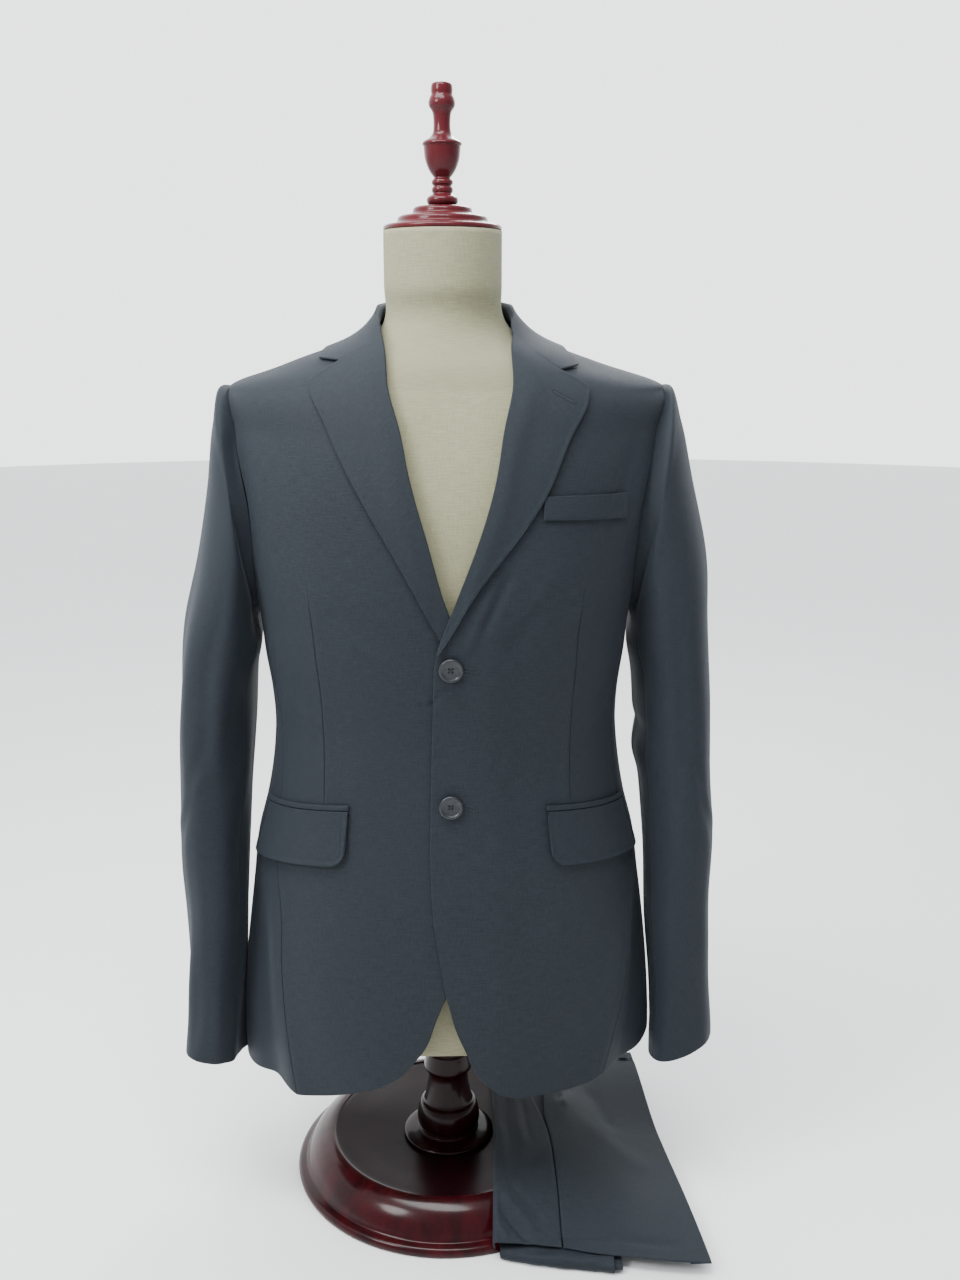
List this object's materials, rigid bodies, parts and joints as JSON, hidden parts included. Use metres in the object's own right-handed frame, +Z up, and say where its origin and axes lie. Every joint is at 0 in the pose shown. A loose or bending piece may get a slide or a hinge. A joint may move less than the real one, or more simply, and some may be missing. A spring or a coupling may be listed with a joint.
{
  "type": "two-piece suit on a dress form",
  "caption": "Tailored single-breasted jacket with notch lapels worn on a limbless dress form with a turned stand, its matching trousers folded over the foot.",
  "frame": {"origin": "centre of the stand's foot, on the floor", "axes": "+Z up along the form's axis, the wearer faces -Y, the wearer's left is +X"},
  "size_m": [0.5489, 0.3617, 1.1144],
  "materials": {
    "charcoal_suiting": "fine matt worsted",
    "dark_horn": "satin horn",
    "form_linen": "plain linen weave",
    "mahogany_lacquer": "gloss lacquer"
  },
  "bodies": {
    "root": {"back_left": "charcoal_suiting", "back_right": "charcoal_suiting", "belt_loop_far": "charcoal_suiting", "belt_loop_near": "charcoal_suiting", "breast_welt": "charcoal_suiting", "collar": "charcoal_suiting", "cuff_button_left_1": "dark_horn", "cuff_button_left_2": "dark_horn", "cuff_button_left_3": "dark_horn", "cuff_button_left_4": "dark_horn", "cuff_button_right_1": "dark_horn", "cuff_button_right_2": "dark_horn", "cuff_button_right_3": "dark_horn", "cuff_button_right_4": "dark_horn", "finial": "mahogany_lacquer", "form_torso": "form_linen", "front_button_lower": "dark_horn", "front_button_upper": "dark_horn", "front_left": "charcoal_suiting", "front_right": "charcoal_suiting", "lapel_left": "charcoal_suiting", "lapel_right": "charcoal_suiting", "neck_cap": "mahogany_lacquer", "pocket_flap_left": "charcoal_suiting", "pocket_flap_right": "charcoal_suiting", "pocket_jet_left": "charcoal_suiting", "pocket_jet_right": "charcoal_suiting", "pole": "mahogany_lacquer", "side_left": "charcoal_suiting", "side_right": "charcoal_suiting", "sleeve_top_left": "charcoal_suiting", "sleeve_top_right": "charcoal_suiting", "sleeve_under_left": "charcoal_suiting", "sleeve_under_right": "charcoal_suiting", "stand_base": "mahogany_lacquer", "trousers_back_panel": "charcoal_suiting", "trousers_front_panel": "charcoal_suiting", "trousers_inner_fold": "charcoal_suiting", "trousers_leg_fold": "charcoal_suiting", "trousers_leg_fold_inner": "charcoal_suiting", "trousers_under_leg": "charcoal_suiting", "waistband": "charcoal_suiting"}
  },
  "joints": []
}
